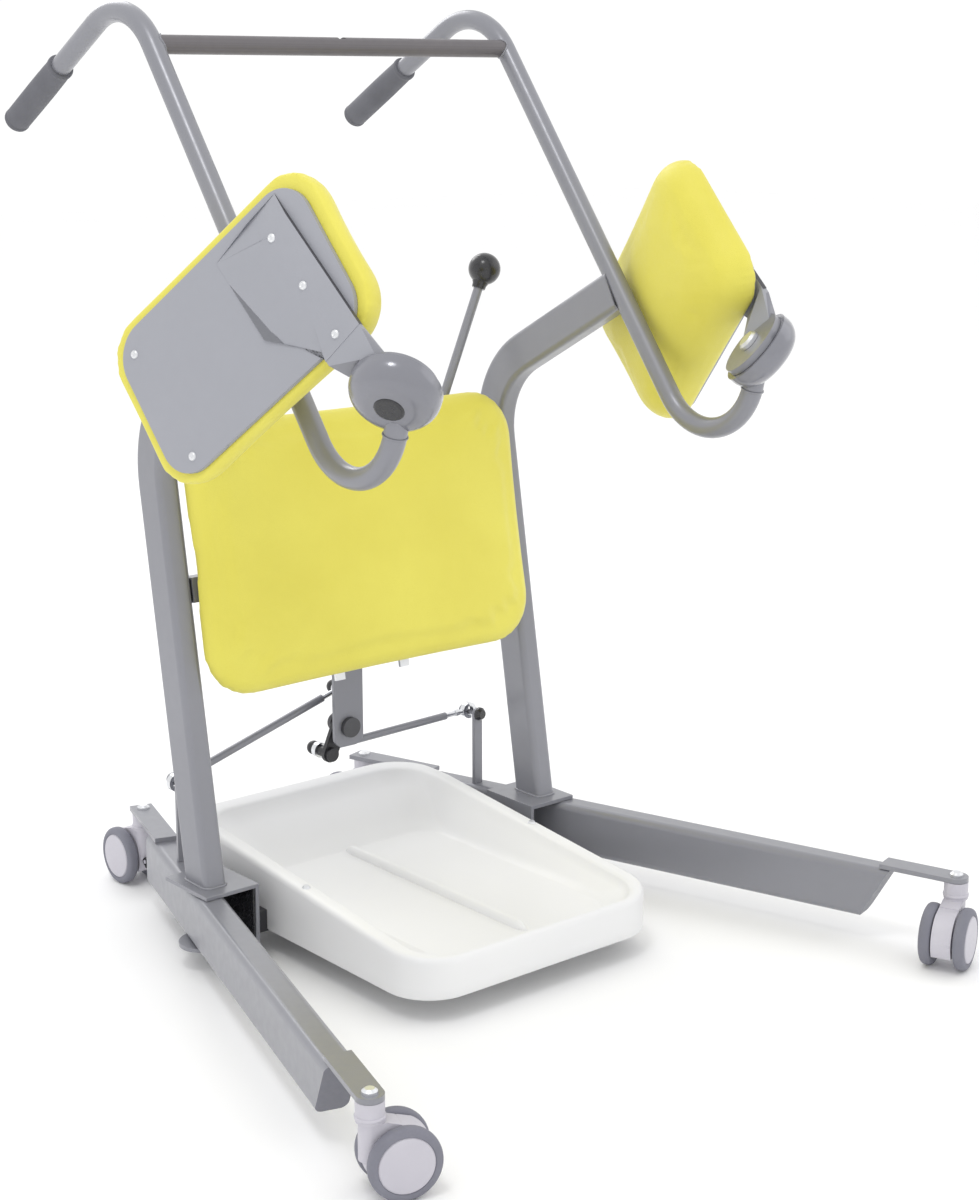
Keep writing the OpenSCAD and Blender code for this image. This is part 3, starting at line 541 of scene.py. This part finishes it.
seat_pad_at = (0.160, 0.123, -0.029)
cushion("knee_pad", knee_matrix, half_w=0.247, half_d=0.165, thick=0.036, cap=0.005, body="frame")
for s, side in SIDES:
    place = seat_matrix(s) @ Matrix.Translation(seat_pad_at)
    cushion(side + "_seat_pad", place, half_w=0.105, half_d=0.169, thick=0.056, cap=0.0045,
            body=side + "_seat")


# Plates, brackets, tubes and small machined pieces with rounded edges
for name, width in (
    ("left_seat_board", 0.0016),
    ("right_seat_board", 0.0016),
    ("knee_board", 0.0016),
    ("lever_bracket", 0.0010),
    ("lever_crank", 0.0010),
    ("left_base_bracket", 0.0014),
    ("right_base_bracket", 0.0014),
    ("left_caster_arms", 0.0016),
    ("right_caster_arms", 0.0016),
    ("base_crossmember", 0.0012),
    ("hub_caps", 0.0008),
    ("rear_left_brake", 0.0014),
    ("rear_right_brake", 0.0014),
    ("knee_pad_clips", 0.0008),
    ("left_upright", 0.0004),
    ("right_upright", 0.0004),
    ("left_side_tube", 0.0004),
    ("right_side_tube", 0.0004),
):
    softened(name, width)

# Hubs in a glossier coat of the frame's paint, its colour a little darker than the frame's as painted shade on the
# domes
for side in ("left", "right"):
    softened(side + "_hub_housing", 0.0012, paint=lambda face: 1, others=("hub_gloss_and_shade",))


# Caster hoods: the flat step over the wheels falls away from the collar
hood_top = 0.0765
hood_start = 0.0150
hood_lean = 0.28
hood_rise = 0.96


def hood_slope(top, way):
    past = 0.0002
    above = 1e-6
    fall = way * hood_lean + Vector((0, 0, hood_rise))

    def slope(bm):
        near = [f for f in bm.faces if max((v.co - top).dot(way) for v in f.verts) > past]
        corners = dict.fromkeys(v for f in near for v in f.verts)
        borders = dict.fromkeys(e for f in near for e in f.edges)
        geom = [*corners, *borders, *near]
        bmesh.ops.bisect_plane(bm, geom=geom, plane_co=top, plane_no=fall, dist=above)
        for v in bm.verts:
            deep = (v.co - top).dot(way)
            if deep > past and (v.co - top).dot(fall) > above:
                v.co.z = top.z - deep * hood_lean / hood_rise

    return slope


for end, side in CORNERS:
    stem = Vector(joints[f"{end}_{side}_swivel"]["pos_m"])
    hub_a = Vector(joints[f"{end}_{side}_wheel_a_spin"]["pos_m"])
    hub_b = Vector(joints[f"{end}_{side}_wheel_b_spin"]["pos_m"])
    way = ((hub_a + hub_b) / 2.0 - Vector((stem.x, stem.y, hub_a.z))).normalized()
    top = Vector((stem.x, stem.y, hood_top)) + way * hood_start
    softened(f"{end}_{side}_fork", 0.0030, shape=hood_slope(top, way))


# The tie rod posts end in black caps towards the patient
splay = math.radians(17.0)
leg_x = 0.265
stud_arm = 0.112
stud_z = 0.197


def cap_paint(stud, away):
    cap_from = -0.0192

    def paint(face):
        return 1 if (face.center - stud).dot(away) < cap_from else 0

    return paint


for s, side in SIDES:
    stud_x = s * (leg_x - stud_arm * math.sin(splay))
    stud = Vector((stud_x, base_y + stud_arm * math.cos(splay), stud_z))
    heading = QUARTER_TURN + splay / 2
    away = Vector((s * math.cos(heading), math.sin(heading), 0))
    softened(side + "_crank_post", 0.0008, paint=cap_paint(stud, away), others=("black_plastic",))


# Seat arms: the leaf runs out flush onto its board on two sides. The leaf is painted in the board's lighter grey
# as painted light, and its lower edge in black as painted shade in the gap along it
leaf_x = 28.0
leaf_y = -23.0
leaf_turn = math.radians(6.0)
leaf_from = 0.046
leaf_flat_from = 0.040


def leaf_run_out(leaf, leaf_back):
    cuts = [((u, 0, 0), (1, 0, 0)) for u in (leaf_from, 0.066, 0.086, 0.106, 0.186)]
    cuts.append(((0.1, 0.044, 0), (0, 1, 0)))
    outer_edge = 0.055
    outer_start = 0.056
    outer_slope = 0.8
    outer_run = 0.060
    far_edge = 0.193
    far_end = 0.215
    under_side = -0.039
    board_face = -0.0356

    def run_out(bm):
        for at, way in cuts:
            everything = bm.verts[:] + bm.edges[:] + bm.faces[:]
            bmesh.ops.bisect_plane(bm, geom=everything, plane_co=leaf @ Vector(at),
                                   plane_no=leaf.to_3x3() @ Vector(way), dist=1e-6)
        for v in bm.verts:
            p = leaf_back @ v.co
            if p.x < leaf_from - 0.1 * MM:
                continue
            outer = p.y > outer_edge
            far = p.x > far_edge
            if outer:
                p.y = outer_start + outer_slope * min(outer_run, p.x - leaf_from)
            if far:
                p.x = far_end
            if (outer or far) and p.z < under_side:
                p.z = board_face
            v.co = leaf @ p

    return run_out


def leaf_light_and_shade_paint(leaf_back):
    neck_from = 0.012
    lower_edge = 0.0005

    def paint(face):
        p = leaf_back @ face.center
        if p.x < neck_from:
            return 0
        # Painted light and shade: the leaf takes the board's lighter grey, and its lower edge black as a painted
        # shadow in the gap
        return 2 if p.x > leaf_flat_from and p.y < lower_edge else 1

    return paint


def leaf_flat(leaf_back):
    return lambda centre: (leaf_back @ centre).x > leaf_flat_from


for s, side in SIDES:
    corner_of_leaf = Matrix.Translation((leaf_x * MM, leaf_y * MM, 0))
    leaf = seat_matrix(s) @ corner_of_leaf @ Matrix.Rotation(leaf_turn, 4, "Z")
    leaf_back = leaf.inverted()
    softened(side + "_seat_arm", 0.0006, shape=leaf_run_out(leaf, leaf_back),
             flat=leaf_flat(leaf_back), paint=leaf_light_and_shade_paint(leaf_back), others=("board", "black_metal"))


# Legs: the closed nose is darker than the sides
def nose_paint(pivot, ahead):
    nose_from = 0.4
    facing = 0.7

    def paint(face):
        in_nose = (face.center - pivot).dot(ahead) > nose_from
        return 1 if face.normal.dot(ahead) > facing and in_nose else 0

    return paint


for s, side in SIDES:
    pivot = Vector(joints[side + "_leg_pivot"]["pos_m"])
    ahead = Vector((s * math.sin(splay), -math.cos(splay), 0))
    softened(side + "_leg", 0.0012, paint=nose_paint(pivot, ahead), others=("nose_grey",))


# Twin wheels: grey tyre (0) round a pale disc (1) with a groove between them
wheel_rings = [
    (-8.2, 6.0, 1), (-8.2, 26.5, 1), (-7.9, 27.6, 1), (-6.9, 28.3, 0), (-7.1, 29.2, 0),
    (-7.3, 31.0, 0), (-6.9, 33.6, 0), (-5.9, 35.6, 0), (-4.2, 36.9, 0), (-2.0, 37.4, 0),
    (0.0, 37.5, 0), (2.0, 37.4, 0), (4.2, 36.9, 0), (5.9, 35.6, 0), (6.9, 33.6, 0),
    (7.3, 31.0, 0), (7.1, 29.4, 0), (6.4, 28.8, 0), (6.2, 28.5, 0), (6.3, 28.2, 1),
    (7.2, 27.9, 1), (7.6, 27.2, 1), (7.8, 25.5, 1), (7.95, 21.0, 1), (8.05, 14.0, 1),
    (8.1, 7.0, 1), (8.1, 2.0, 1),
]
for end, side in CORNERS:
    for mark, out in (("a", 1.0), ("b", -1.0)):
        name = f"{end}_{side}_wheel_{mark}"
        spin = joints[name + "_spin"]
        axis = Vector(spin["axis"]) * out
        mesh = turned(name, wheel_rings, axis, spin["pos_m"], segments=72, angle=42.0)
        piece(name + "_tyre", mesh, name + "_spin_body", "tyre", (name,), ("caster_body",))

# A seal ring under each caster arm
collar_z = 0.0795
collar_rings = plain([
    (0.0, 13.0), (0.0, 14.8), (0.5, 15.4), (2.0, 15.6), (3.5, 15.4), (4.0, 14.8), (4.0, 13.0),
])
for end, side in CORNERS:
    swivel = joints[f"{end}_{side}_swivel"]["pos_m"]
    at = (swivel[0], swivel[1], collar_z)
    mesh = turned("collar", collar_rings, (0, 0, 1), at, segments=48, angle=50.0)
    piece(f"{end}_{side}_collar_ring", mesh, f"{end}_{side}_caster", "caster_body")


# Handle grips: soft sleeve with a rolled inner lip and a rounded end
grip_rings = plain([
    (-66.8, 12.8), (-66.9, 15.0), (-66.4, 15.9), (-65.0, 16.4), (-62.5, 16.4), (-61.5, 15.8),
    (-60.5, 15.5), (-58.0, 15.6), (-40.0, 16.0), (-10.0, 16.3), (20.0, 16.3), (50.0, 16.2),
    (60.0, 16.2), (61.5, 15.7), (62.5, 15.6), (63.5, 16.2), (66.0, 16.5), (68.0, 16.2),
    (69.6, 15.2), (70.6, 13.4), (71.0, 11.0), (71.1, 6.0), (71.1, 2.0),
])
for mount in record["mounts"]:
    side = mount["name"].split("_")[0]
    mesh = turned(side + "_grip", grip_rings, mount["axis"], mount["pos_m"], segments=72, angle=60.0)
    piece(side + "_grip_sleeve", mesh, "frame", "grip", (side + "_grip",))


# Foot tray: rings from the skirt over the rolled rim into the bowl, and a rounded rib along the floor.
# Its outlines are half width, lowest y, highest y and corner radius
tray_floor = 0.062
tray_thick = 0.006
tray_under = tray_floor - tray_thick
tray_rim = 0.122
rim_roll = 0.010
lip_drop = 0.006
rim_level_from = 0.1
rim_fall = math.radians(5.9)
skirt_bottom = 0.030
skirt_edge = 0.032
tray_outer = (0.187, -0.325, 0.195, 0.060)
tray_mouth = (0.167, -0.317, 0.165, 0.050)
tray_foot = (0.135, -0.300, 0.075, 0.040)


def rim_height(y):
    if y >= rim_level_from:
        return tray_rim
    return tray_rim - (rim_level_from - y) * math.tan(rim_fall)


def inset(outline, d):
    least_corner = 0.004
    half, low, high, corner = outline
    return (half - d, low + d, high - d, max(corner - d, least_corner))


def between(a, b, u):
    return tuple(p + (q - p) * u for p, q in zip(a, b))


def tray_rings():
    rings = []

    def ring(outline, height):
        rings.append([(x, y, height(y)) for x, y in rounded_outline(*outline)])

    for d, z in (
        (30.0, tray_under),
        (12.0, tray_under),
        (6.0, tray_under - 0.004),
        (5.0, skirt_edge),
        (3.0, skirt_bottom),
        (1.0, skirt_bottom),
        (0.0, skirt_edge),
    ):
        ring(inset(tray_outer, d * MM), lambda y: z)
    for u in (0.3, 0.6):
        ring(tray_outer, lambda y: skirt_edge + (rim_height(y) - (skirt_edge + rim_roll)) * u)
    for d, drop in ((0.0, 8.0), (0.4, 5.0), (1.5, 2.4), (3.5, 0.7), (6.0, 0.0)):
        ring(inset(tray_outer, d * MM), lambda y: rim_height(y) - drop * MM)
    for d, drop in ((-3.0, 0.2), (0.0, 1.2), (2.0, 3.2), (3.2, 6.0)):
        ring(inset(tray_mouth, d * MM), lambda y: rim_height(y) - drop * MM)
    wall_top = inset(tray_mouth, 3.2 * MM)
    for u in (0.25, 0.5, 0.72, 0.86):
        ring(between(wall_top, tray_foot, u),
             lambda y: tray_floor + (rim_height(y) - lip_drop - tray_floor) * (1.0 - u))
    for d, up in ((0.5, 2.2), (3.0, 0.6), (7.0, 0.0), (36.0, 0.0), (70.0, 0.0), (100.0, 0.0)):
        ring(inset(tray_foot, d * MM), lambda y: tray_floor + up * MM)
    return rings


def tray_mesh():
    rings = tray_rings()
    count = len(rings[0])
    verts = [p for r in rings for p in r]
    faces = []
    for i in range(len(rings) - 1):
        low = i * count
        high = low + count
        for k in range(count):
            j = (k + 1) % count
            faces.append((low + k, low + j, high + j, high + k))
    faces.append(tuple(range(count)))
    faces.append(tuple((len(rings) - 1) * count + k for k in range(count)))

    first = len(verts)
    steps = 48
    across = 11
    rib_start = -0.285
    rib_length = 0.358
    rib_height = 0.0095
    rib_end_share = 0.05
    rib_end_half = 0.0032
    rib_widening = 0.0035
    rib_sunk = 0.001
    rib_least = 0.0015
    fullness = 0.8
    for i in range(steps + 1):
        u = i / steps
        y = rib_start + rib_length * u
        ease = min(1.0, min(u, 1.0 - u) / rib_end_share)
        tall = rib_height * math.sin(ease * QUARTER_TURN) ** fullness
        half = rib_end_half + rib_widening * ease
        for k in range(across):
            a = math.pi * k / (across - 1)
            z = tray_floor - rib_sunk + (tall + rib_least) * math.sin(a) ** fullness
            verts.append((half * math.cos(a), y, z))
    for i in range(steps):
        for k in range(across):
            a = first + i * across + k
            b = first + i * across + (k + 1) % across
            faces.append((a, a + across, b + across, b))
    faces.append(tuple(first + k for k in range(across)))
    faces.append(tuple(first + steps * across + k for k in range(across)))
    verts = [(x, y + base_y, z) for x, y, z in verts]
    return mesh_of("tray", verts, faces, angle=60.0)


piece("foot_tray_shell", tray_mesh(), "frame", "tray", ("foot_tray",))


# Screw heads: domed, with a round recess
def screw_heads(name, places, radius, tall, body, stands_for=()):
    rings = 12
    segments = 48
    recess_r = 0.4 * radius
    verts = []
    faces = []
    for matrix in places:
        first = len(verts)
        for i in range(rings + 1):
            r = radius * i / rings
            z = tall * math.sqrt(max(0.0, 1.0 - (r / radius) ** 2.4))
            z -= 0.3 * tall * max(0.0, 1.0 - (r / recess_r) ** 4)
            for k in range(segments):
                a = FULL_TURN * k / segments
                verts.append(matrix @ Vector((r * math.cos(a), r * math.sin(a), z)))
        for i in range(rings):
            low = first + i * segments
            high = low + segments
            for k in range(segments):
                j = (k + 1) % segments
                faces.append((low + k, high + k, high + j, low + j))
        faces.append(tuple(first + rings * segments + k for k in reversed(range(segments))))
    piece(name, mesh_of(name, verts, faces, angle=30.0), body, "zinc", stands_for)


# Seat screws: three along each leaf and two in the free end of the board
leaf_screws_along = (44.98, 112.02, 179.06)
leaf_screws_across = 29.0
leaf_back_z = -40.0
board_screws = [(82.0, 241.0, -35.0), (223.0, 251.0, -35.0)]
face_down = Matrix.Rotation(math.pi, 4, "X")
spots = []
for u in leaf_screws_along:
    x = leaf_x + u * math.cos(leaf_turn) - leaf_screws_across * math.sin(leaf_turn)
    y = leaf_y + u * math.sin(leaf_turn) + leaf_screws_across * math.cos(leaf_turn)
    spots.append((x, y, leaf_back_z))
spots += board_screws
for s, side in SIDES:
    places = [seat_matrix(s) @ Matrix.Translation(Vector(p) * MM) @ face_down for p in spots]
    screw_heads(side + "_seat_screw_heads", places, 5.0 * MM, 2.6 * MM, side + "_seat",
                (side + "_seat_screws",))


# Weld beads: upright feet, hand bar ends and the joint of each J end with its hub
tube_x = 0.260
tube_r = 0.0125
bend_r = 0.095
j_bend_r = 0.0765
slant = math.radians(36.8)
slant_length = 0.517
slant_out = Vector((0, -math.cos(slant), math.sin(slant)))
slant_way = Vector((0, -math.sin(slant), -math.cos(slant)))
slant_start = Vector((0, 0.136, 1.025)) + slant_out * bend_r
j_centre = slant_start + slant_way * slant_length + slant_out * j_bend_r


def circle(at, way, radius, count=72):
    side = way.orthogonal().normalized()
    other = way.normalized().cross(side)
    angles = [FULL_TURN * k / count for k in range(count)]
    return [at + (side * math.cos(a) + other * math.sin(a)) * radius for a in angles]


def upright_foot():
    half_w = 0.0153
    half_d = 0.0256
    corner = 0.0083
    bead_z = base_top + 0.0004
    path = []
    for x, y in rounded_outline(half_w, -half_d, half_d, corner, per_corner=10, per_side=14):
        path.append(Vector((tube_x + x, y / math.cos(lean), bead_z)))
    return path


# The hand bar's end, where it runs into the side of the round tube
def hand_bar_end(count=72):
    bar_r = 0.0113
    most_across = 0.0124
    sideways = slant_way.cross(Vector((1, 0, 0)))
    path = []
    for k in range(count):
        a = FULL_TURN * k / count
        off = Vector((0, math.cos(a), math.sin(a))) * bar_r
        across = min(abs(sideways.dot(off)), most_across)
        reach = math.sqrt(max(0.0, tube_r ** 2 - across ** 2))
        path.append(Vector((tube_x - reach, 0, 0)) + slant_start + off)
    return path


# The first place along the J end, from its tip, that is clear of the hub
def hub_joint():
    clear_of_hub = 0.0400
    for degrees in range(138, 60, -1):
        a = -slant - math.radians(degrees)
        p = Vector((tube_x, j_centre.y + j_bend_r * math.cos(a), j_centre.z + j_bend_r * math.sin(a)))
        d = p - hub_at
        if (d - hub_axis * d.dot(hub_axis)).length > clear_of_hub:
            break
    return circle(p, Vector((0, math.sin(a), -math.cos(a))), tube_r + 0.0002)


for s, side in SIDES:
    place = side_matrix(s)
    bead(side + "_upright_foot_weld", [place @ p for p in upright_foot()], 0.0019, "frame")
    bead(side + "_hand_bar_weld", [place @ p for p in hand_bar_end()], 0.0014, "frame")
    bead(side + "_hub_weld", [place @ p for p in hub_joint()], 0.0012, "frame")


# A thin black sheet inside the web of each base bracket is painted shade in the bracket's hollow
shade_sheet_from_web = 0.0052
shade_sheet_thick = 0.0025
shade_sheet_end = 0.002
shade_sheet_edge = 0.0055
for s, side in SIDES:
    low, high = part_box(side + "_base_bracket")
    inner = min(abs(low.x), abs(high.x)) + shade_sheet_from_web
    verts = []
    for x in (inner, inner + shade_sheet_thick):
        for y in (low.y + shade_sheet_end, high.y - shade_sheet_end):
            for z in (low.z + shade_sheet_edge, high.z - shade_sheet_edge):
                verts.append((s * x, y, z))
    faces = [(0, 1, 3, 2), (4, 6, 7, 5), (0, 4, 5, 1), (2, 3, 7, 6), (0, 2, 6, 4), (1, 5, 7, 3)]
    piece(side + "_bracket_shade_sheet", mesh_of("shade_sheet", verts, faces), "frame", "black_plastic")


# Screws through the knee rest's cross bar into its board
bar_back_at = (0, 0.009, 0.350)
bar_back = lean_matrix @ Matrix.Translation(bar_back_at) @ Matrix.Rotation(-QUARTER_TURN, 4, "X")
places = [bar_back @ Matrix.Translation((x * MM, 0, 0)) for x in (-190, -110, 110, 190)]
screw_heads("knee_bar_screw_heads", places, 6.0 * MM, 3.2 * MM, "frame")


# Lever knob ferrule
lever_tilt = math.radians(23.2)
lever_length = 0.620
swing = Vector(joints["lever_swing"]["pos_m"])
lever_way = Vector((math.sin(lever_tilt), 0, math.cos(lever_tilt)))
rod_low, rod_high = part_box("lever_rod")
knob = Vector((swing.x, (rod_low.y + rod_high.y) / 2.0, swing.z)) + lever_way * lever_length
ferrule_rings = plain([
    (-27.0, 6.3), (-27.0, 8.2), (-26.0, 8.9), (-22.0, 9.2), (-19.0, 10.6), (-17.5, 10.6), (-17.0, 6.3),
])
mesh = turned("ferrule", ferrule_rings, lever_way, knob, segments=48, angle=40.0)
piece("lever_knob_ferrule", mesh, "lever", "black_plastic")


# Camera, from the perspective of the photograph
right = Vector((0.7625, -0.6470, 0.0)).normalized()
back = Vector((-0.6339, -0.7472, 0.1996)).normalized()
upward = back.cross(right).normalized()
cam_turn = Matrix((right, upward, back)).transposed().to_4x4()
cam_data = bpy.data.cameras.new("camera")
cam_data.sensor_width = 36.0
cam_data.lens = 64.5
cam_data.shift_x = -0.01875
cam_data.shift_y = -0.0658
cam_data.clip_start = 0.05
cam_data.clip_end = 60.0
cam = bpy.data.objects.new("camera", cam_data)
cam.matrix_world = Matrix.Translation((-1.554, -2.091 + base_y, 1.039)) @ cam_turn
scene.collection.objects.link(cam)
scene.camera = cam

# Floor, sky and soft studio lights
floor_half = 14
floor_corners = [(-1, -1), (1, -1), (1, 1), (-1, 1)]
floor_mesh = bpy.data.meshes.new("floor")
floor_mesh.from_pydata([(x * floor_half, y * floor_half, 0) for x, y in floor_corners], [], [(0, 1, 2, 3)])
floor_mat = surface("floor", (0.97, 0.97, 0.97), (0.96, 0.96, 0.96), (0.75, 0.85), patch=1.5, grain=60.0)
floor_mesh.materials.append(floor_mat)
floor = bpy.data.objects.new("floor", floor_mesh)
scene.collection.objects.link(floor)

world = bpy.data.worlds.new("world")
world.use_nodes = True
sky = world.node_tree.nodes["Background"]
sky.inputs["Color"].default_value = (1.0, 1.0, 1.0, 1.0)
sky.inputs["Strength"].default_value = 1.04
scene.world = world


def lamp(name, at, target, size, power):
    data = bpy.data.lights.new(name, "AREA")
    data.shape = "DISK"
    data.size = size
    data.energy = power
    made = bpy.data.objects.new(name, data)
    made.location = at
    made.rotation_euler = (Vector(target) - Vector(at)).to_track_quat("-Z", "Y").to_euler()
    scene.collection.objects.link(made)


lamp("key", at=(-1.7, -1.0, 4.2), target=(0, 0, 0.55), size=1.0, power=26.0)
lamp("fill", at=(2.8, -1.6, 2.2), target=(0, 0, 0.5), size=2.4, power=6.0)
lamp("rim", at=(0.6, 3.2, 2.8), target=(0, 0, 0.6), size=2.0, power=25.0)
scene.view_settings.view_transform = "Standard"
